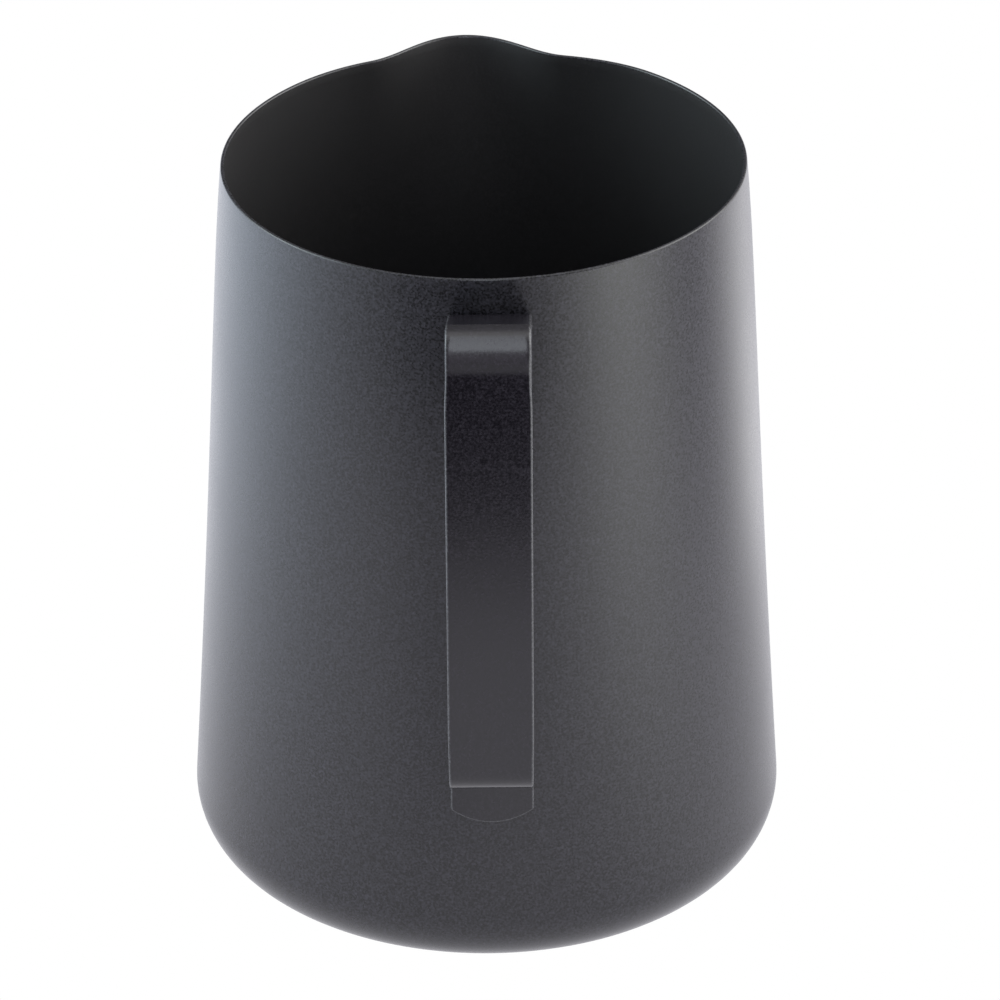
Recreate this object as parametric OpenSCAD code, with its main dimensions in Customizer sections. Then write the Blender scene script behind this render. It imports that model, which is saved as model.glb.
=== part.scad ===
// Milk frothing pitcher: a deep-drawn jug with a pressed pouring lip, and a handle bent from
// one flat strap and spot-welded to the wall above and below.
// Z is the jug's axis and the base rests on z = 0. The handle is on -Y and the lip on +Y.

/* [Jug] */
// Outside diameter of the mouth
mouth_d = 90; // [70:1:110]
// Height of the rim above the table
jug_h = 133; // [110:1:160]
// How much wider the wall's line is at the table than at the mouth, on the radius
flare = 7.2; // [3:0.1:12]
// How far the middle of the wall lies inside a straight cone
waist = 0.5; // [0:0.1:2]
// How far the last of the wall turns in towards the mouth
mouth_draw = 0.75; // [0:0.05:2]
// Outside radius of the rounded foot
foot_r = 11.4; // [6:0.1:16]
// Thickness of the sheet
wall_t = 0.7; // [0.5:0.05:1.2]

/* [Base] */
// Diameter of the raised middle of the base, inside the ring that it stands on
recess_d = 66; // [40:1:74]
// Height of the raised middle
recess_h = 0.8; // [0.4:0.1:2]

/* [Pouring lip] */
// How far the crest of the lip is pressed out, before the pinch takes some back
lip_press = 7.2; // [3:0.1:12]
// Angle from the lip's crest to where its channel ends, on each side
lip_half_angle = 23; // [15:0.5:30]
// How far the rim is drawn in beside the lip
lip_pinch = 1.85; // [0:0.05:3]
// How much the pinch differs between the lip's two sides
lip_skew = 1.15; // [0:0.05:1.5]
// How far down the wall the lip's channel runs
lip_run = 48; // [25:1:60]
// Angle from the line opposite the handle round to the lip
lip_turn = 3.3; // [0:0.1:10]

/* [Handle] */
// Width of the strap
strap_w = 14.3; // [10:0.1:20]
// Width that it narrows to at its upper root
root_w = 13.9; // [9:0.1:20]
// Thickness of the strap
strap_t = 1.6; // [1:0.1:2.5]
// Distance from the wall to the outside of the grip
grip_reach = 25.5; // [20:0.5:35]
// Depth below the rim at which the upper leg leaves the wall
root_drop = 6.1; // [5:0.1:15]
// Rise of the upper leg from the wall to the grip, in degrees
upper_rise = 23; // [0:1:30]
// Height at which the grip turns in to the lower leg
heel_z = 51.9; // [45:0.1:60]
// Rise of the lower leg from the wall to the grip, in degrees
lower_rise = 8; // [0:1:15]
// Outside radius of the two bends at the grip's ends
grip_bend_r = 3.7; // [3:0.1:8]
// Radius of the inside of the bends where the legs meet the tabs
root_bend_r = 1; // [0.5:0.1:2]
// Length of each tab, from the root of its leg to its rounded end
tab_l = 16.2; // [12:0.1:20]
// Depth of the rounded end of each tab
tab_round = 2.3; // [1:0.1:7]

/* [Spot welds] */
// Diameter of each weld nugget
nugget_d = 4; // [3:0.1:5]
// Distance between the two nuggets of a tab
nugget_gap = 7; // [5:0.1:9]

/* [Hidden] */

coating = [0.13, 0.13, 0.14];
bare_steel = [0.62, 0.63, 0.65];

$fn = 96;
draw_run = 0.1;      // share of the height over which the mouth draws in
lip_sector = 90;     // angle of the wall that is shaped by the lip
lip_sides = 40;      // facets round that sector
lip_steps = 14;      // facets up the lip's run
wall_steps = 7;      // facets up the wall below the lip's run
foot_steps = 9;      // facets round the foot
rim_steps = 5;       // facets over the rounded edge of the rim
bend_steps = 8;      // facets round each bend of the strap
recess_slope = 1.2;  // width of the slope round the raised base
root_overlap = 3;    // length of strap, in thicknesses, that runs from each root into its tab
nugget_share = 0.5;  // share of each sheet's thickness that a nugget takes up

// ---- the wall, as outside radius against height ----

function wall_r(z) = let (f = 1 - z / jug_h)
    mouth_d / 2 + flare * f - 4 * waist * f * (1 - f) + mouth_draw * (1 - exp(-f / draw_run));
function wall_point(z) = [wall_r(z), z];
function shares(n) = [for (i = [0 : n]) i / n];

// The foot is an arc that touches the table and the wall.
wall_lean = atan((wall_r(foot_r) - wall_r(foot_r + 1)) / 1);
foot_top = foot_r * (1 + sin(wall_lean));
foot_centre = [wall_r(foot_top) - foot_r * cos(wall_lean), foot_r];
function foot_arc(r) = [for (s = shares(foot_steps))
    let (a = -90 + (90 + wall_lean) * s) foot_centre + r * [cos(a), sin(a)]];

lip_bottom = jug_h - lip_run;
rim_centre_z = jug_h - wall_t / 2;
lower_z = [for (s = shares(wall_steps)) foot_top + (lip_bottom - foot_top) * s];
upper_z = [for (s = shares(lip_steps)) lip_bottom + (rim_centre_z - lip_bottom) * s];
function reversed(list) = [for (i = [len(list) - 1 : -1 : 0]) list[i]];
function tail(list) = [for (i = [1 : len(list) - 1]) list[i]];
function moved(list, step) = [for (p = list) p + step];

// ---- the section of the sheet, as a [radius, height] loop that starts and ends on the axis ----

base_outside = [[0, recess_h], [recess_d / 2 - recess_slope, recess_h], [recess_d / 2, 0]];
wall_outside = [for (z = concat(tail(lower_z), tail(upper_z))) wall_point(z)];
shell_section = concat(
    base_outside, foot_arc(foot_r), wall_outside,
    [for (i = [1 : rim_steps - 1]) let (a = 180 * i / rim_steps)
        wall_point(rim_centre_z) - [wall_t / 2, 0] + wall_t / 2 * [cos(a), sin(a)]],
    reversed(moved(wall_outside, [-wall_t, 0])),
    reversed(foot_arc(foot_r - wall_t)), reversed(moved(base_outside, [0, wall_t])));

// ---- the lip, as an outward shift of the section in one sector ----

function bump(x) = abs(x) < 1 ? cos(90 * x) ^ 2 : 0;
function lip_plan(a) = lip_press * bump(a / lip_half_angle)
    - (lip_pinch - lip_skew * sin(2 * a)) * bump(2 * a / lip_sector);
function lip_fade(z) = max(0, (z - lip_bottom) / lip_run) ^ 2;
function lip_point(p, a) = let (r = p[0] + lip_plan(a - lip_sector / 2) * lip_fade(p[1]))
    [r * cos(a), r * sin(a), p[1]];

// The section's two ends are shared by every turn. The points between them have one copy a turn.
section_n = len(shell_section);
between = [for (k = [1 : section_n - 2]) shell_section[k]];
function index(j, k) = k == 0 ? 0 : k == section_n - 1 ? 1 : 1 + j * len(between) + k;
function band_faces(j, k) = concat(
    k == section_n - 2 ? [] : [[index(j, k), index(j, k + 1), index(j + 1, k + 1)]],
    k == 0 ? [] : [[index(j, k), index(j + 1, k + 1), index(j + 1, k)]]);
function cap_faces(j, k) = let (b = section_n - 1 - k)
    [[index(j, k), index(j, b), index(j, k + 1)], [index(j, k + 1), index(j, b), index(j, b - 1)]];
function flipped(faces) = [for (f = faces) reversed(f)];

module lip_shell() {
    ends = [for (p = [shell_section[0], shell_section[section_n - 1]]) [0, 0, p[1]]];
    points = concat(ends,
        [for (s = shares(lip_sides)) each [for (p = between) lip_point(p, lip_sector * s)]]);
    bands = [for (j = [0 : lip_sides - 1], k = [0 : section_n - 2]) each band_faces(j, k)];
    near_cap = [for (k = [0 : section_n / 2 - 2]) each cap_faces(0, k)];
    far_cap = [for (k = [0 : section_n / 2 - 2]) each cap_faces(lip_sides, k)];
    polyhedron(points, concat(bands, near_cap, flipped(far_cap)), convexity = 6);
}

// Everything inside the wall's outer face, or as far outside it as grow says.
module jug_outline(grow = 0) {
    profile = concat([wall_point(foot_top)], wall_outside);
    rotate_extrude()
        polygon(concat([[0, foot_top]], moved(profile, [grow, 0]), [[0, rim_centre_z]]));
}

module jug_shell() {
    rotate([0, 0, 90 + lip_turn - lip_sector / 2]) {
        lip_shell();
        rotate([0, 0, lip_sector])
            rotate_extrude(angle = 360 - lip_sector) polygon(shell_section);
    }
}

// ---- the strap, seen from the side as [distance from the axis, height] ----

// The grip is a straight line, set off from the wall at two heights this far inside its ends.
grip_inset = 5;
grip_top = jug_h - grip_inset;
grip_foot = heel_z + grip_inset;
grip_a = wall_point(grip_top) + [grip_reach, 0];
grip_b = wall_point(grip_foot) + [grip_reach, 0];
function grip_at(z) = grip_a + (grip_b - grip_a) * (grip_top - z) / (grip_top - grip_foot);

function meet(p, a, q, b) = let (d = q - p, u = [cos(a), sin(a)], v = [cos(b), sin(b)])
    p + u * (d[0] * v[1] - d[1] * v[0]) / (u[0] * v[1] - u[1] * v[0]);
function heading(p, q) = atan2(q[1] - p[1], q[0] - p[0]);

upper_root = wall_point(jug_h - root_drop);
shoulder = meet(upper_root, upper_rise, grip_a, heading(grip_b, grip_a));
heel = grip_at(heel_z);
lower_line = wall_point(heel_z - grip_reach * tan(lower_rise));
lower_root = meet(heel, lower_rise, lower_line + [strap_t, 0], 90 + wall_lean);
upper_tab_end = upper_root[1] - tab_l;
lower_tab_end = lower_root[1] - tab_l;

// The corners of the strap's outer face. The legs run on a little way into the tabs.
strap_corners = [
    wall_point(upper_root[1] - strap_t * root_overlap), upper_root, shoulder, heel, lower_root,
    wall_point(lower_root[1] - strap_t * root_overlap) + [strap_t, 0]
];
face_radii = [root_bend_r + strap_t, grip_bend_r, grip_bend_r, root_bend_r];

// One bend of the strap: its outer face (deep = 0) or its inner face (deep = strap_t).
function bend_arc(i, deep) = let (
        p = strap_corners[i], a = heading(strap_corners[i - 1], p),
        turn = (heading(p, strap_corners[i + 1]) - a + 540) % 360 - 180,
        side = turn < 0 ? -1 : 1, r = face_radii[i - 1],
        start = p - r * tan(abs(turn) / 2) * [cos(a), sin(a)],
        centre = start + side * r * [-sin(a), cos(a)])
    [for (s = shares(bend_steps)) let (b = a + turn * s)
        centre - side * (r + side * deep) * [-sin(b), cos(b)]];
function strap_end(p, q, deep) = p + deep * [sin(heading(p, q)), -cos(heading(p, q))];
function strap_face(deep) = let (last = len(strap_corners) - 1)
    concat([strap_end(strap_corners[0], strap_corners[1], deep)],
        [for (i = [1 : last - 1]) each bend_arc(i, deep)],
        [strap_corners[last] + strap_end([0, 0], strap_corners[last] - strap_corners[last - 1], deep)]);

// Side views drawn as [outward, up] are stood up on the handle's side of the jug.
module on_handle_side() rotate([90, 0, -90]) children();

// What the upper leg loses at its sides, seen from above, as it narrows towards its root.
module root_taper() {
    for (side = [-1, 1])
        translate([0, 0, grip_top - grip_reach])
            linear_extrude(2 * grip_reach)
                polygon([
                    [side * root_w / 2, 0], [side * root_w / 2, -upper_root[0]],
                    [side * strap_w / 2, -shoulder[0]], [side * strap_w, -shoulder[0]],
                    [side * strap_w, 0]
                ]);
}

module strap_legs() {
    difference() {
        on_handle_side()
            linear_extrude(strap_w, center = true)
                polygon(concat(strap_face(0), reversed(strap_face(strap_t))));
        root_taper();
    }
}

// The front view of a tab: a strip whose lower end is a shallow arc.
module tab_outline(w, end_z, top_z) {
    arc_r = ((w / 2) ^ 2 + tab_round ^ 2) / (2 * tab_round);
    rotate([90, 0, 0])
        linear_extrude(mouth_d)
            intersection() {
                translate([-w / 2, end_z]) square([w, top_z - end_z]);
                union() {
                    translate([0, end_z + arc_r]) circle(arc_r);
                    translate([-w / 2, end_z + arc_r]) square([w, tab_l]);
                }
            }
}

module curved_tab(w, end_z, top_z) {
    intersection() {
        jug_outline(strap_t);
        tab_outline(w, end_z, top_z);
    }
}

module nugget_pair(z) {
    deep = wall_t * nugget_share;
    spread = asin(nugget_gap / 2 / wall_r(z));
    for (a = [-spread, spread])
        rotate([0, 0, a])
            translate([0, deep - wall_r(z), z])
                rotate([90, 0, 0])
                    cylinder(d = nugget_d, h = deep + strap_t * nugget_share);
}

// ---- the parts ----

module pitcher_body() {
    color(coating)
        difference() {
            jug_shell();
            nugget_pair(upper_tab_end + tab_l / 2);
            nugget_pair(lower_tab_end + tab_l / 2);
        }
}

module handle_strap() {
    color(coating)
        difference() {
            union() {
                strap_legs();
                curved_tab(root_w, upper_tab_end, upper_root[1] - strap_t);
                curved_tab(strap_w, lower_tab_end, lower_root[1] - strap_t);
            }
            jug_outline();
            nugget_pair(upper_tab_end + tab_l / 2);
            nugget_pair(lower_tab_end + tab_l / 2);
        }
}

module upper_weld_nuggets() {
    color(bare_steel) nugget_pair(upper_tab_end + tab_l / 2);
}

module lower_weld_nuggets() {
    color(bare_steel) nugget_pair(lower_tab_end + tab_l / 2);
}

pitcher_body();
handle_strap();
upper_weld_nuggets();
lower_weld_nuggets();
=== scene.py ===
"""A milk frothing pitcher in a white studio: a dark coated steel jug with a pouring lip and a strap handle.

The object's sizes are in millimetres, with the same names as in the CAD source. Meshes, the camera's
distance and the studio are in metres, and angles are in degrees. The jug stands on z = 0 round the Z axis,
with its handle on -Y and its lip on +Y. Azimuths run from 0, in front of the handle, round to the right.
"""

import math

import bpy
from mathutils import Matrix, Vector


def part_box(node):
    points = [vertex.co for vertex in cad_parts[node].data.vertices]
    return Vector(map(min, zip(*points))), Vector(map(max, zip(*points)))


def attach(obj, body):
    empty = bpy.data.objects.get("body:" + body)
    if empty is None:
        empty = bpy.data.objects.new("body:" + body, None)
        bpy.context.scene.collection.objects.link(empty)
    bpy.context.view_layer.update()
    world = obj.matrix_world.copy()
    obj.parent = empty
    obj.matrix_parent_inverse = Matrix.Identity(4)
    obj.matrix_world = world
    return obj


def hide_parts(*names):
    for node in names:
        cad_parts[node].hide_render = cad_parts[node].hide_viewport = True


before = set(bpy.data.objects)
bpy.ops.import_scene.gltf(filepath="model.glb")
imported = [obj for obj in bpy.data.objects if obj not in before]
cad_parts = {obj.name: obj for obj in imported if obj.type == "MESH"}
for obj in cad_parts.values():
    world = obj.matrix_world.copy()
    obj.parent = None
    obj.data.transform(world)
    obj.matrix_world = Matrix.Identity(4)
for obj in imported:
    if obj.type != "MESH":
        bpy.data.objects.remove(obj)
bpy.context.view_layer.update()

MM = 0.001

# ---- the jug ----
MOUTH_D = 90.0
JUG_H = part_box("pitcher_body")[1].z / MM
FLARE = 7.2  # how much wider the wall's line is at the table than at the mouth, on the radius
WAIST = 0.5  # how far the middle of the wall lies inside a straight cone
MOUTH_DRAW = 0.75  # how far the last of the wall turns in towards the mouth
DRAW_RUN = 0.1  # share of the height over which it does so
FOOT_R = 11.4  # outside radius of the rounded foot
WALL_T = 0.7
RECESS_D = 66.0  # diameter of the raised middle of the base
RECESS_H = 0.8
RECESS_SLOPE = 1.2  # width of the slope round it
RIM_TILT = 0.0068  # how much higher the rim is for each millimetre towards +X, as it isn't quite level

# ---- the pouring lip ----
LIP_PRESS = 7.2  # how far its crest is pressed out, before the pinch takes some back
LIP_HALF_ANGLE = 23.0  # from the crest to where the channel ends, on each side
LIP_PINCH = 1.85  # how far the rim is drawn in beside the lip
LIP_SKEW = 1.15  # how much the pinch differs between the lip's two sides
LIP_RUN = 48.0  # how far down the wall the channel runs
LIP_TURN = 3.3  # from the line opposite the handle round to the lip
LIP_SECTOR = 90.0  # angle of the wall that the lip shapes

# ---- the handle ----
STRAP_W = 14.3
ROOT_W = 13.9  # width that it narrows to at its upper root
STRAP_T = 1.6
GRIP_REACH = 25.5  # from the wall to the outside of the grip
ROOT_DROP = 6.1  # depth below the rim at which the upper leg leaves the wall
UPPER_RISE = 23.0  # slope of the upper leg
HEEL_Z = 51.6  # height at which the grip turns in to the lower leg, 0.3 mm lower than in the CAD
LOWER_RISE = 8.0  # slope of the lower leg
GRIP_BEND_R = 3.7  # outside radius of the bend at the top of the grip
HEEL_BEND_R = 4.7  # the same at the heel, 1 mm more than in the CAD
SPRING_R = 14.0  # radius of the last, gentler part of the upper bend, where the strap sprang back
SPRING_TURN = 21.0  # how much of the bend's turn that part takes
BEND_NECK = 0.2  # how much narrower the strap is drawn at its bends
NECK_L = 6.0  # how far past a bend the strap takes to get its width back
STRAP_SKEW = 0.5  # how far the roots sit towards +X of the grip
STRAP_LEAN = 0.0028  # how much further towards +X the grip is for each millimetre down it
LEAN_Z = (JUG_H + HEEL_Z) / 2 + 10  # height at which the grip isn't moved by its lean
ROOT_BEND_R = 1.0  # inside radius of the bends where the legs meet the tabs
ROOT_OVERLAP = 3 * STRAP_T  # how far below each root the tab's own line is taken
TAB_L = 16.2  # from the root to the tab's rounded end
TAB_ROUND = 2.3  # depth of that rounded end
GRIP_INSET = 5.0  # how far inside the grip's ends its reach is measured
STRAP_EDGE_R = 0.35  # rounding of the strap's edges
EDGE_ANGLE = 40.0  # corners sharper than this are rounded
TAB_SINK = 0.05  # how deep the tabs are pressed into the wall's coating

# ---- how finely the meshes are made ----
COLUMNS = 320
WALL_ROWS = 72
FOOT_ROWS = 18
RIM_ROWS = 8
RECESS_ROWS = 8
RECESS_RINGS = (0.02, 0.35, 0.7)  # rings across the flat of the raised base, as shares of its radius
BEND_ROWS = 12
LEG_ROWS = 10
GRIP_ROWS = 36
TAB_ROWS = 14
STRAP_COLUMNS = 14
EDGE_SEGMENTS = 4
SHADING_WEIGHT = 80  # how much the strap's large faces lead its shading, out of 100

# ---- the camera ----
CAMERA_DISTANCE = 1.125
CAMERA_AZIMUTH = -0.47
CAMERA_ELEVATION = 29.2
CAMERA_YAW = -0.1305
CAMERA_PITCH = -0.0138
CAMERA_ROLL = 0.288
CAMERA_LENS = 230.2
CAMERA_SENSOR = 36
CAMERA_NEAR = 0.05


def direction(azimuth, elevation=0):
    """A unit vector that points an azimuth round from the handle and an elevation up."""
    a, e = math.radians(azimuth), math.radians(elevation)
    return (math.sin(a) * math.cos(e), -math.cos(a) * math.cos(e), math.sin(e))


def make_camera():
    """A long lens at the photograph's angle, aimed at the middle of the jug's axis and turned a little."""
    start = Vector(direction(CAMERA_AZIMUTH, CAMERA_ELEVATION))
    azimuth = math.radians(CAMERA_AZIMUTH)
    back = start.copy()
    right = Vector((math.cos(azimuth), math.sin(azimuth), 0))
    up = back.cross(right)
    yaw = Matrix.Rotation(math.radians(CAMERA_YAW), 3, up)
    right, back = yaw @ right, yaw @ back
    pitch = Matrix.Rotation(math.radians(CAMERA_PITCH), 3, right)
    up, back = pitch @ up, pitch @ back
    roll = Matrix.Rotation(math.radians(CAMERA_ROLL), 3, -back)
    right, up = roll @ right, roll @ up
    data = bpy.data.cameras.new("camera")
    data.lens = CAMERA_LENS
    data.sensor_width = CAMERA_SENSOR
    data.clip_start = CAMERA_NEAR
    camera = bpy.data.objects.new("camera", data)
    aim = Vector((0, 0, JUG_H * MM / 2))
    turn = Matrix((right, up, back)).transposed().to_4x4()
    camera.matrix_world = Matrix.Translation(aim + start * CAMERA_DISTANCE) @ turn
    bpy.context.scene.collection.objects.link(camera)
    bpy.context.scene.camera = camera


make_camera()


# ---- helpers for meshes ----


def shares(n):
    """n + 1 numbers from 0 to 1."""
    return [i / n for i in range(n + 1)]


def make_piece(name, points, faces, *materials):
    """A smooth mesh object from points in millimetres."""
    mesh = bpy.data.meshes.new(name)
    mesh.from_pydata([[c * MM for c in p] for p in points], [], faces)
    mesh.polygons.foreach_set("use_smooth", [True] * len(mesh.polygons))
    for material in materials:
        mesh.materials.append(material)
    mesh.validate()
    piece = bpy.data.objects.new(name, mesh)
    bpy.context.scene.collection.objects.link(piece)
    return piece


# ---- helpers for nodes ----


class Nodes:
    """The nodes of a material or world. add returns a new node, and the calls after feed return an output."""

    def __init__(self, owner, empty=False):
        owner.use_nodes = True
        self.tree = owner.node_tree
        if empty:
            self.tree.nodes.clear()

    def add(self, kind, **settings):
        node = self.tree.nodes.new(kind)
        for name, value in settings.items():
            setattr(node, name, value)
        return node

    def feed(self, socket, value):
        """Link an output to a socket, or set the socket's own value."""
        if isinstance(value, bpy.types.NodeSocket):
            self.tree.links.new(value, socket)
        else:
            socket.default_value = value

    def math(self, operation, *values):
        node = self.add("ShaderNodeMath", operation=operation)
        for socket, value in zip(node.inputs, values):
            self.feed(socket, value)
        return node.outputs["Value"]

    def vector(self, operation, *values, output="Vector"):
        node = self.add("ShaderNodeVectorMath", operation=operation)
        for socket, value in zip(node.inputs, values):
            self.feed(socket, value)
        return node.outputs[output]

    def scaled(self, vector, factor):
        """The vector, or colour, times the factor."""
        node = self.add("ShaderNodeVectorMath", operation="SCALE")
        self.feed(node.inputs[0], vector)
        self.feed(node.inputs["Scale"], factor)
        return node.outputs["Vector"]

    def ramp(self, value, start, stop, low, high, curve="LINEAR"):
        """low up to start, high from stop on, and a slope between them."""
        node = self.add("ShaderNodeMapRange", interpolation_type=curve)
        for socket, v in zip(node.inputs, (value, start, stop, low, high)):
            self.feed(socket, v)
        return node.outputs["Result"]

    def step(self, value, start, stop, low=0.0, high=1.0):
        """A ramp with soft ends."""
        return self.ramp(value, start, stop, low, high, "SMOOTHSTEP")

    def noise(self, scale, detail):
        """Noise fixed to the object, with the scale in cells for each metre."""
        node = self.add("ShaderNodeTexNoise")
        node.inputs["Scale"].default_value = scale
        node.inputs["Detail"].default_value = detail
        self.feed(node.inputs["Vector"], self.add("ShaderNodeTexCoord").outputs["Object"])
        return node.outputs["Fac"]


# ---- materials ----
GRAIN_SCALE, GRAIN_DETAIL = 2500, 2.5
GRAIN_LOW, GRAIN_HIGH = 0.4, 0.75  # noise values at which the darkest and lightest specks are reached
SPECK_DARKER, SPECK_LIGHTER = 0.5, 3.2  # how far they are from the coating's tone, as shares of it
CLOUD_SCALE, CLOUD_DETAIL = 60, 3
NOISE_LOW, NOISE_HIGH = 0.3, 0.7  # noise values between which the roughness changes
ROUGHNESS_GRAIN = 0.05  # how far the roughness changes with the grain, each way
ROUGHNESS_CLOUDS = 0.015  # and with the clouds
PLAIN_SPECULAR = 0.5  # the shader's own specular level, less the share that gloss takes
COAT_ROUGHNESS = 0.12

STEEL_SCALE, STEEL_DETAIL = 1500, 2
STEEL_DARK = (0.32, 0.33, 0.35, 1)
STEEL_LIGHT = (0.55, 0.55, 0.57, 1)
STEEL_ROUGHNESS = 0.45


def coating(name, tone, roughness, grain, speckle, gloss=0.0):
    """A satin black coating: a fine speckled grain in its colour, its roughness and its surface.

    grain is the height of the grain, speckle is the strength of the specks, and gloss is the share of the
    coating's sheen that mirrors sharply.
    """
    material = bpy.data.materials.new(name)
    nodes = Nodes(material)
    shader = nodes.tree.nodes["Principled BSDF"]
    fine = nodes.noise(GRAIN_SCALE, GRAIN_DETAIL)
    cloudy = nodes.noise(CLOUD_SCALE, CLOUD_DETAIL)

    mix = nodes.add("ShaderNodeMix", data_type="RGBA")
    factor, dark, light = mix.inputs[0], mix.inputs[6], mix.inputs[7]
    nodes.feed(factor, nodes.ramp(fine, GRAIN_LOW, GRAIN_HIGH, 0, 1))
    dark.default_value = [c * (1 - SPECK_DARKER * speckle) for c in tone] + [1]
    light.default_value = [c * (1 + SPECK_LIGHTER * speckle) for c in tone] + [1]
    nodes.feed(shader.inputs["Base Color"], mix.outputs[2])

    low, high = roughness - ROUGHNESS_GRAIN, roughness + ROUGHNESS_GRAIN
    grainy = nodes.ramp(fine, NOISE_LOW, NOISE_HIGH, low, high)
    clouds = nodes.ramp(cloudy, NOISE_LOW, NOISE_HIGH, -ROUGHNESS_CLOUDS, ROUGHNESS_CLOUDS)
    nodes.feed(shader.inputs["Roughness"], nodes.math("ADD", grainy, clouds))

    relief = nodes.add("ShaderNodeBump")
    relief.inputs["Distance"].default_value = grain * MM
    relief.inputs["Strength"].default_value = 1
    nodes.feed(relief.inputs["Height"], fine)
    nodes.feed(shader.inputs["Normal"], relief.outputs["Normal"])

    shader.inputs["Specular IOR Level"].default_value = PLAIN_SPECULAR * (1 - gloss)
    shader.inputs["Coat Weight"].default_value = gloss
    shader.inputs["Coat Roughness"].default_value = COAT_ROUGHNESS
    return material


def bare_steel(name):
    """The grey fused metal of a spot weld."""
    material = bpy.data.materials.new(name)
    nodes = Nodes(material)
    shader = nodes.tree.nodes["Principled BSDF"]
    ramp = nodes.add("ShaderNodeValToRGB")
    ramp.color_ramp.elements[0].color = STEEL_DARK
    ramp.color_ramp.elements[1].color = STEEL_LIGHT
    nodes.feed(ramp.inputs["Fac"], nodes.noise(STEEL_SCALE, STEEL_DETAIL))
    nodes.feed(shader.inputs["Base Color"], ramp.outputs["Color"])
    shader.inputs["Metallic"].default_value = 1
    shader.inputs["Roughness"].default_value = STEEL_ROUGHNESS
    return material


# ---- making the jug ----


def wall_r(z):
    """The outside radius of the wall at a height."""
    f = 1 - z / JUG_H
    cone = MOUTH_D / 2 + FLARE * f
    return cone - 4 * WAIST * f * (1 - f) + MOUTH_DRAW * (1 - math.exp(-f / DRAW_RUN))


WALL_LEAN = math.atan(wall_r(FOOT_R) - wall_r(FOOT_R + 1))
FOOT_TOP = FOOT_R * (1 + math.sin(WALL_LEAN))
FOOT_CENTRE_R = wall_r(FOOT_TOP) - FOOT_R * math.cos(WALL_LEAN)
LIP_BOTTOM = JUG_H - LIP_RUN
RIM_CENTRE_Z = JUG_H - WALL_T / 2


def foot_arc(radius):
    """The rounded foot, from the table up to the wall, at a radius from the foot's centre."""
    angles = [-math.pi / 2 + (math.pi / 2 + WALL_LEAN) * s for s in shares(FOOT_ROWS)]
    return [(FOOT_CENTRE_R + radius * math.cos(a), FOOT_R + radius * math.sin(a)) for a in angles]


def recess(depth):
    """The raised middle of the base and the slope round it, depth above the outside."""
    slope = []
    for s in shares(RECESS_ROWS):
        height = RECESS_H * (0.5 + 0.5 * math.cos(math.pi * s))
        slope.append((RECESS_D / 2 - RECESS_SLOPE * (1 - s), height + depth))
    disc = [(RECESS_D / 2 * s, RECESS_H + depth) for s in RECESS_RINGS]
    return disc + slope


def jug_section():
    """The sheet's section as (radius, height) points: out along the base, up the wall, and back inside."""
    heights = [FOOT_TOP + (RIM_CENTRE_Z - FOOT_TOP) * s for s in shares(WALL_ROWS)][1:]
    wall = [(wall_r(z), z) for z in heights]
    middle = wall[-1][0] - WALL_T / 2
    rim = []
    for s in shares(RIM_ROWS)[1:-1]:
        out, rise = math.cos(math.pi * s), math.sin(math.pi * s)
        rim.append((middle + WALL_T / 2 * out, RIM_CENTRE_Z + WALL_T / 2 * rise))
    inner_wall = [(r - WALL_T, z) for r, z in wall]
    outside = recess(0) + foot_arc(FOOT_R) + wall
    inside = recess(WALL_T) + foot_arc(FOOT_R - WALL_T) + inner_wall
    return outside + rim + inside[::-1]


def swell(x):
    """1 in the middle, and 0 from 1 outwards."""
    return math.cos(math.pi / 2 * x) ** 2 if abs(x) < 1 else 0


def lip_shift(angle, z):
    """How far the lip moves the wall out, at an angle from the lip's line."""
    if z <= LIP_BOTTOM:
        return 0
    pinch = LIP_PINCH - LIP_SKEW * math.sin(math.radians(2 * angle))
    plan = LIP_PRESS * swell(angle / LIP_HALF_ANGLE) - pinch * swell(2 * angle / LIP_SECTOR)
    return plan * ((z - LIP_BOTTOM) / LIP_RUN) ** 2


def make_jug(material, inside_material):
    """The whole shell, with the inside's material from the rim's inner edge down."""
    section = jug_section()
    n = len(section)
    points = []
    for j in range(COLUMNS):
        turn = 360 * j / COLUMNS
        angle = (turn - 90 - LIP_TURN + 180) % 360 - 180
        x, y = math.cos(math.radians(turn)), math.sin(math.radians(turn))
        for r, z in section:
            r += lip_shift(angle, z)
            points.append((r * x, r * y, z * (1 + RIM_TILT * r * x / JUG_H)))
    faces = []
    for j in range(COLUMNS):
        here, there = j * n, (j + 1) % COLUMNS * n
        faces += [(here + k, there + k, there + k + 1, here + k + 1) for k in range(n - 1)]
    under, floor = len(points), len(points) + 1
    points += [(0, 0, section[0][1]), (0, 0, section[-1][1])]
    for j in range(COLUMNS):
        here, there = j * n, (j + 1) % COLUMNS * n
        faces += [(under, there, here), (floor, here + n - 1, there + n - 1)]
    jug = make_piece("jug_shell", points, faces, material, inside_material)
    crest = section.index(max(section, key=lambda p: p[1]))
    for face in jug.data.polygons:
        corners = [v % n for v in face.vertices if v < under]
        face.material_index = int(min(corners) >= crest + RIM_ROWS // 2)
    return jug


# ---- making the handle, seen from the side as (distance from the axis, height) ----


def point_on_wall(z, out=0):
    """The point out from the wall's outside at a height."""
    return Vector((wall_r(z) + out, z))


def heading(p, q):
    """The angle of the line from p to q, in radians."""
    return math.atan2(q.y - p.y, q.x - p.x)


def along(angle):
    """A unit vector at an angle in radians."""
    return Vector((math.cos(angle), math.sin(angle)))


def meet(p, a, q, b):
    """Where the line from p at angle a meets the line from q at angle b."""
    u, v, d = along(a), along(b), q - p
    return p + u * (d.x * v.y - d.y * v.x) / (u.x * v.y - u.y * v.x)


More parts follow.
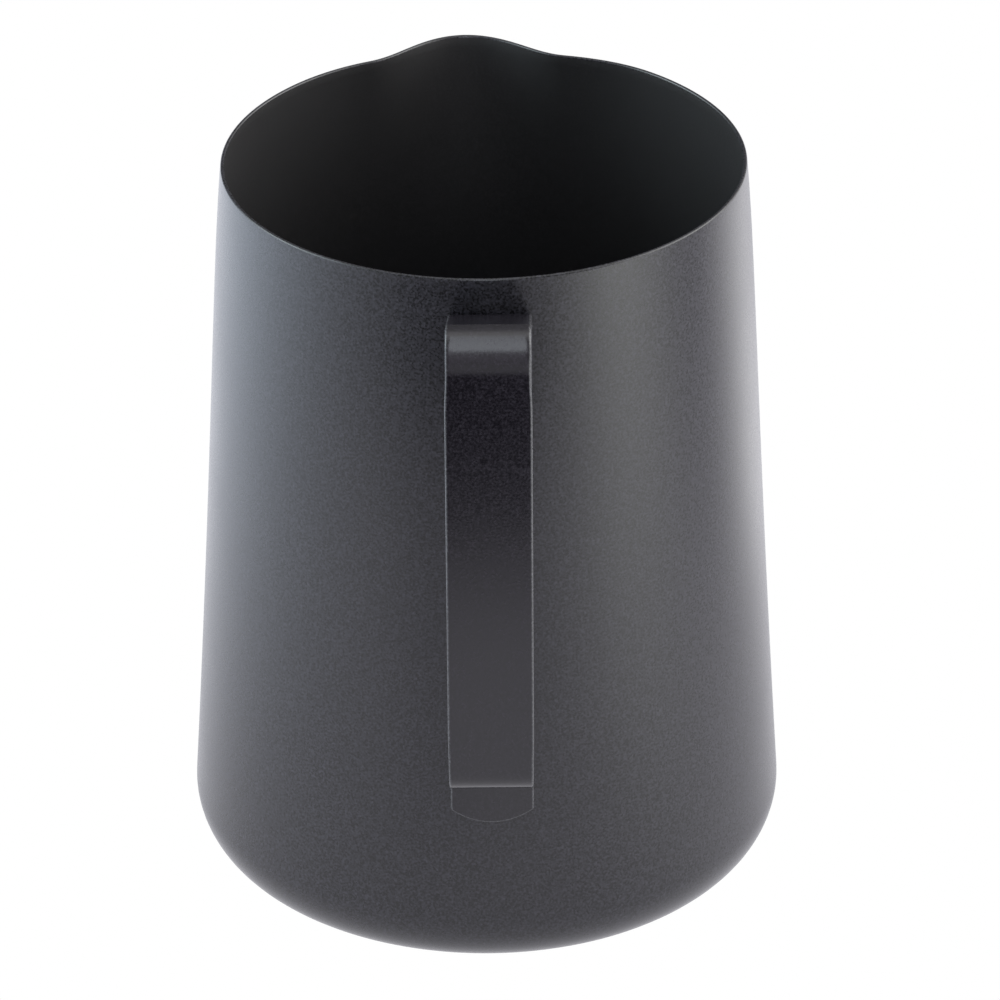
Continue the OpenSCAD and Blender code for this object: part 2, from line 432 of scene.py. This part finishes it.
def strap_corners():
    """The corners of the strap's outer face, from its upper root to its lower one."""
    grip_top, grip_foot = JUG_H - GRIP_INSET, HEEL_Z + GRIP_INSET
    grip_a = point_on_wall(grip_top, GRIP_REACH)
    grip_b = point_on_wall(grip_foot, GRIP_REACH)
    root = point_on_wall(JUG_H - ROOT_DROP)
    shoulder = meet(root, math.radians(UPPER_RISE), grip_a, heading(grip_b, grip_a))
    heel = grip_a + (grip_b - grip_a) * (grip_top - HEEL_Z) / (grip_top - grip_foot)
    lower_line = point_on_wall(HEEL_Z - GRIP_REACH * math.tan(math.radians(LOWER_RISE)), STRAP_T)
    lower_root = meet(heel, math.radians(LOWER_RISE), lower_line, math.pi / 2 + WALL_LEAN)
    return root, shoulder, heel, lower_root


def bend(before, corner, after, radius):
    """One bend as (face point, back point) pairs. Positive turns have their centre on the face's side."""
    a = heading(before, corner)
    turn = (heading(corner, after) - a + 3 * math.pi) % (2 * math.pi) - math.pi
    side = -1 if turn < 0 else 1
    start = corner - along(a) * radius * math.tan(abs(turn) / 2)
    centre = start + along(a + side * math.pi / 2) * radius
    pairs = []
    for s in shares(BEND_ROWS):
        out = along(a + turn * s - side * math.pi / 2)
        pairs.append((centre + out * radius, centre + out * (radius + side * STRAP_T)))
    return pairs


def sprung_bend(before, corner, after, radius):
    """The upper bend: a tight arc and then a gentle one, which together touch both straight lines."""
    a = heading(before, corner)
    turn = (a - heading(corner, after) + 3 * math.pi) % (2 * math.pi) - math.pi
    gentle = math.radians(SPRING_TURN)
    arcs = [(radius, turn - gentle), (SPRING_R, gentle)]
    # The two arcs, drawn from the origin at heading a, show how far their end lies from the first line.
    p, h, pairs = Vector((0, 0)), a, []
    for r, angle in arcs:
        centre = p + along(h - math.pi / 2) * r
        for s in shares(BEND_ROWS)[0 if not pairs else 1:]:
            out = along(h - angle * s + math.pi / 2)
            pairs.append((centre + out * r, centre + out * (r - STRAP_T)))
        p, h = pairs[-1][0], h - angle
    reach = meet(Vector((0, 0)), a, p, h).length
    shift = corner - along(a) * reach
    return [(face + shift, back + shift) for face, back in pairs]


def straight(pairs_a, pairs_b, steps):
    """Pairs between the last of one bend and the first of the next."""
    (fa, ba), (fb, bb) = pairs_a[-1], pairs_b[0]
    return [(fa.lerp(fb, s), ba.lerp(bb, s)) for s in shares(steps)[1:-1]]


def tab_rows(start_z, end_z, width, face_out, back_out):
    """Rows down a tab from its root to its rounded end, each a function of the distance across the strap."""
    arc_r = ((width / 2) ** 2 + TAB_ROUND ** 2) / (2 * TAB_ROUND)

    def row(s):
        def point(u, back):
            end = end_z + arc_r - math.sqrt(arc_r ** 2 - u ** 2)
            z = start_z + (end - start_z) * s
            r = wall_r(z) + (back_out if back else face_out)
            across = u + STRAP_SKEW
            return (across, -math.sqrt(r ** 2 - across ** 2), z)
        return point

    return [row(s) for s in shares(TAB_ROWS)[1:]]


def bent_row(face, back, width, wall_share):
    """A row of the legs and grip. Near a root it still has some of the wall's curve."""
    def point(u, on_back):
        r, z = back if on_back else face
        wall = wall_r(z)
        reach = min(1, max(0, (r - wall) / GRIP_REACH))
        lean = STRAP_LEAN * (LEAN_Z - z)
        across = u * width / STRAP_W + STRAP_SKEW * (1 - reach) + lean * reach
        curve = r - math.sqrt(r ** 2 - across ** 2)
        return (across, -(r - wall_share * curve), z)
    return point


def ease(x):
    """A smooth step from 0 to 1."""
    x = min(1, max(0, x))
    return x * x * (3 - 2 * x)


def make_strap(material, painted_highlight_material):
    """The whole strap, from the upper tab's end to the lower tab's."""
    root, shoulder, heel, lower_root = strap_corners()
    above = point_on_wall(root.y - ROOT_OVERLAP)
    below = point_on_wall(lower_root.y - ROOT_OVERLAP, STRAP_T)
    upper_root_bend = bend(above, root, shoulder, ROOT_BEND_R + STRAP_T)
    shoulder_bend = sprung_bend(root, shoulder, heel, GRIP_BEND_R)
    heel_bend = bend(shoulder, heel, lower_root, HEEL_BEND_R)
    lower_root_bend = bend(heel, lower_root, below, ROOT_BEND_R)
    pairs = (upper_root_bend
             + straight(upper_root_bend, shoulder_bend, LEG_ROWS) + shoulder_bend
             + straight(shoulder_bend, heel_bend, GRIP_ROWS) + heel_bend
             + straight(heel_bend, lower_root_bend, LEG_ROWS) + lower_root_bend)
    grip_start, grip_end = shoulder_bend[-1][0].y, heel_bend[0][0].y

    rows = []
    for i, (face, back) in enumerate(pairs):
        upper = i < len(pairs) / 2
        from_end = i if upper else len(pairs) - 1 - i
        wall_share = ease(1 - from_end / BEND_ROWS)
        if upper:
            width = ROOT_W + (STRAP_W - ROOT_W) * ease((grip_start - face.y) / NECK_L)
        else:
            width = STRAP_W - BEND_NECK * (1 - ease((face.y - grip_end) / NECK_L)) * (1 - wall_share)
        rows.append(bent_row(face, back, width, wall_share))

    def narrowed(row):
        return lambda u, back: row(u * ROOT_W / STRAP_W, back)

    upper_rows = tab_rows(pairs[0][0].y, root.y - TAB_L, ROOT_W, -TAB_SINK, STRAP_T)
    lower_rows = tab_rows(pairs[-1][0].y, lower_root.y - TAB_L, STRAP_W, STRAP_T, -TAB_SINK)
    rows = [narrowed(r) for r in upper_rows[::-1]] + rows + lower_rows

    across = [STRAP_W * (s - 0.5) for s in shares(STRAP_COLUMNS)]
    loop = [(u, False) for u in across] + [(u, True) for u in across[::-1]]
    n = len(loop)
    points = [row(u, back) for row in rows for u, back in loop]
    faces = []
    for j in range(len(rows) - 1):
        here, there = j * n, (j + 1) * n
        faces += [(here + k, here + (k + 1) % n, there + (k + 1) % n, there + k) for k in range(n)]
    last = (len(rows) - 1) * n
    for k in range(STRAP_COLUMNS):
        faces.append((k, n - 1 - k, n - 2 - k, k + 1))
        faces.append((last + k, last + k + 1, last + n - 2 - k, last + n - 1 - k))
    piece = make_piece("strap_handle", points, faces, material, painted_highlight_material)
    edge = piece.modifiers.new("rounded edges", "BEVEL")
    edge.width = STRAP_EDGE_R * MM
    edge.segments = EDGE_SEGMENTS
    edge.limit_method = "ANGLE"
    edge.angle_limit = math.radians(EDGE_ANGLE)
    edge.material = 1  # the second material, a lighter tone that paints the highlight along the rounded edges
    normals = piece.modifiers.new("even shading", "WEIGHTED_NORMAL")
    normals.weight = SHADING_WEIGHT
    return piece


# ---- the object ----

jug_coating = coating(
    "jug coating", (0.008, 0.0077, 0.01), roughness=0.3, grain=0.006, speckle=1.0, gloss=0.1)
inside_coating = coating(
    "jug coating inside", (0.011, 0.0105, 0.0115), roughness=0.6, grain=0.01, speckle=0.2)
strap_coating = coating(
    "handle coating", (0.0072, 0.0062, 0.0088), roughness=0.18, grain=0.008, speckle=0.4)
# A lighter tone on the strap's rounded edges, which paints the highlight lines along them
painted_highlight_edge_coating = coating(
    "handle coating with painted edge highlight", (0.033, 0.033, 0.037), roughness=0.22, grain=0.004, speckle=0.4)
weld_steel = bare_steel("weld steel")

jug = make_jug(jug_coating, inside_coating)
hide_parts("pitcher_body")
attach(jug, "root")

strap = make_strap(strap_coating, painted_highlight_edge_coating)
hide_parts("handle_strap")
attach(strap, "root")

for name in ("upper_weld_nuggets", "lower_weld_nuggets"):
    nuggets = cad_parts[name]
    nuggets.data.materials.clear()
    nuggets.data.materials.append(weld_steel)


# ---- the studio ----
# It looks plain white to the camera. What lights the jug and is mirrored in it has the strengths below, where
# white paper is 1. Distances are from the jug's axis.

WORLD_GLOW = 0.1
WORLD_LIGHTS = [  # azimuth, elevation, sharpness, strength, tint
    (95, 20, 5.6, 5.7, (1, 1, 0.98)),
    (268, 18, 10, 7.1, (0.88, 1, 1.04)),
    (0, 90, 12, 1.2, (1, 1, 1)),
    (0, 90, 1.5, 0.45, (1, 1, 1)),
    (0, 8, 40, 0.65, (1.05, 1, 1.15)),
]

STRIP_AZIMUTH = 0
STRIP_HALF_WIDTH = 7.5
STRIP_LOW, STRIP_HIGH = 20, 85  # elevations of its ends
STRIP_DISTANCE = 1.5
STRIP_STRENGTH = 3.3
STRIP_TINT = (0.95, 1, 1.08)
STRIP_ACROSS, STRIP_UP = 8, 16  # faces across it and up it

FLOOR_HALF = 9  # half of the floor's side
FLOOR_GLOW = 1.3
FLOOR_TINT = (1.01, 1, 1.06)
FLOOR_NEAR = (0.05, 0.2, 0.8)  # the distances over which the jug's shade fades out, and the glow left in it
FLOOR_DARK = (-12, 3.3, 0.26, 0.34)  # azimuth, sharpness, and the distances over which it sets in
FLOOR_FAR = (0.42, 0.7, 0.4)  # the distances over which the dark part grows lighter again, and to what share
FLOOR_POOLS = [  # azimuth, sharpness, the distances over which it sets in, strength, tint
    (55, 17, 0.0, 0.5, 2.2, (0.97, 1, 0.94)),
    (256, 4.3, 0.0, 0.4, 1.05, (0.75, 1, 1.25)),
    (93, 30, 0.1, 0.35, -0.5, (1, 1, 1)),
    (128, 20, 0.09, 0.2, 0.75, (1, 1, 1)),
    (165, 12, 0.05, 0.15, -0.3, (1, 1, 1)),
    (-17, 30, 0.06, 0.18, -0.32, (1, 1, 1)),
    (14, 40, 0.08, 0.2, -0.15, (1, 1, 1)),
]


def white_to_camera(nodes, colour):
    """Plain white where the camera looks, and the colour in everything else."""
    mix = nodes.add("ShaderNodeMix", data_type="VECTOR")
    nodes.feed(mix.inputs[0], nodes.add("ShaderNodeLightPath").outputs["Is Camera Ray"])
    nodes.feed(mix.inputs[4], colour)
    nodes.feed(mix.inputs[5], (1, 1, 1))
    return mix.outputs[1]


def make_stage(name, points, faces, material):
    """A part of the studio, from points in metres."""
    mesh = bpy.data.meshes.new(name)
    mesh.from_pydata(points, [], faces)
    mesh.materials.append(material)
    thing = bpy.data.objects.new(name, mesh)
    bpy.context.scene.collection.objects.link(thing)
    return thing


def make_world():
    """Two wide lights at the sides, two overhead, and a low one in front."""
    world = bpy.data.worlds.new("studio")
    nodes = Nodes(world, empty=True)
    place = nodes.add("ShaderNodeTexCoord").outputs["Generated"]
    total = (WORLD_GLOW,) * 3
    for azimuth, elevation, sharpness, strength, tint in WORLD_LIGHTS:
        cosine = nodes.vector("DOT_PRODUCT", place, direction(azimuth, elevation), output="Value")
        lobe = nodes.math("POWER", nodes.math("MAXIMUM", cosine, 0.0), sharpness)
        light = nodes.scaled(tint, nodes.math("MULTIPLY", lobe, strength))
        total = nodes.vector("ADD", light, total)
    background = nodes.add("ShaderNodeBackground")
    nodes.feed(background.inputs["Color"], white_to_camera(nodes, total))
    out = nodes.add("ShaderNodeOutputWorld")
    nodes.feed(out.inputs["Surface"], background.outputs["Background"])
    bpy.context.scene.world = world


def floor_tone(nodes, place):
    """What the floor gives off: its glow, less the dark part, plus the pools, and dimmer near the jug."""
    away = nodes.vector("NORMALIZE", place)
    distance = nodes.vector("LENGTH", place, output="Value")

    def patch(azimuth, sharpness, start, stop):
        cosine = nodes.vector("DOT_PRODUCT", away, direction(azimuth), output="Value")
        beyond = nodes.math("MULTIPLY", nodes.math("SUBTRACT", cosine, 1.0), sharpness)
        return nodes.math("MULTIPLY", nodes.math("EXPONENT", beyond), nodes.step(distance, start, stop))

    start, stop, share = FLOOR_FAR
    dark = nodes.math("MULTIPLY", patch(*FLOOR_DARK), nodes.step(distance, start, stop, 1.0, share))
    light = nodes.math("MULTIPLY", nodes.math("SUBTRACT", 1.0, dark), FLOOR_GLOW)
    total = nodes.scaled(FLOOR_TINT, light)
    for azimuth, sharpness, start, stop, strength, tint in FLOOR_POOLS:
        pool = nodes.math("MULTIPLY", patch(azimuth, sharpness, start, stop), strength)
        total = nodes.vector("ADD", nodes.scaled(tint, pool), total)
    total = nodes.vector("MAXIMUM", total, (0, 0, 0))
    start, stop, least = FLOOR_NEAR
    return nodes.scaled(total, nodes.step(distance, start, stop, least, 1.0))


def make_floor():
    """A floor that glows upwards and is clear from below."""
    material = bpy.data.materials.new("floor")
    nodes = Nodes(material, empty=True)
    geometry = nodes.add("ShaderNodeNewGeometry")
    tone = floor_tone(nodes, geometry.outputs["Position"])
    glow = nodes.add("ShaderNodeEmission")
    nodes.feed(glow.inputs["Color"], white_to_camera(nodes, tone))
    clear = nodes.add("ShaderNodeBsdfTransparent")
    mix = nodes.add("ShaderNodeMixShader")
    nodes.feed(mix.inputs[0], geometry.outputs["Backfacing"])
    nodes.feed(mix.inputs[1], glow.outputs["Emission"])
    nodes.feed(mix.inputs[2], clear.outputs["BSDF"])
    out = nodes.add("ShaderNodeOutputMaterial")
    nodes.feed(out.inputs["Surface"], mix.outputs["Shader"])
    h = FLOOR_HALF
    make_stage("floor", [(-h, -h, 0), (h, -h, 0), (h, h, 0), (-h, h, 0)], [(0, 1, 2, 3)], material)


def make_strip_light():
    """A tall curved softbox from behind the camera to overhead, which the camera doesn't see."""
    material = bpy.data.materials.new("strip light")
    nodes = Nodes(material, empty=True)
    glow = nodes.add("ShaderNodeEmission")
    glow.inputs["Color"].default_value = (*STRIP_TINT, 1)
    glow.inputs["Strength"].default_value = STRIP_STRENGTH
    out = nodes.add("ShaderNodeOutputMaterial")
    nodes.feed(out.inputs["Surface"], glow.outputs["Emission"])

    points = []
    for t in shares(STRIP_UP):
        elevation = STRIP_LOW + (STRIP_HIGH - STRIP_LOW) * t
        for s in shares(STRIP_ACROSS):
            azimuth = STRIP_AZIMUTH + STRIP_HALF_WIDTH * (2 * s - 1)
            points.append([c * STRIP_DISTANCE for c in direction(azimuth, elevation)])
    faces = []
    for j in range(STRIP_UP):
        here, there = j * (STRIP_ACROSS + 1), (j + 1) * (STRIP_ACROSS + 1)
        faces += [(here + k, here + k + 1, there + k + 1, there + k) for k in range(STRIP_ACROSS)]
    make_stage("strip light", points, faces, material).visible_camera = False


make_world()
make_floor()
make_strip_light()
bpy.context.scene.view_settings.view_transform = "Standard"
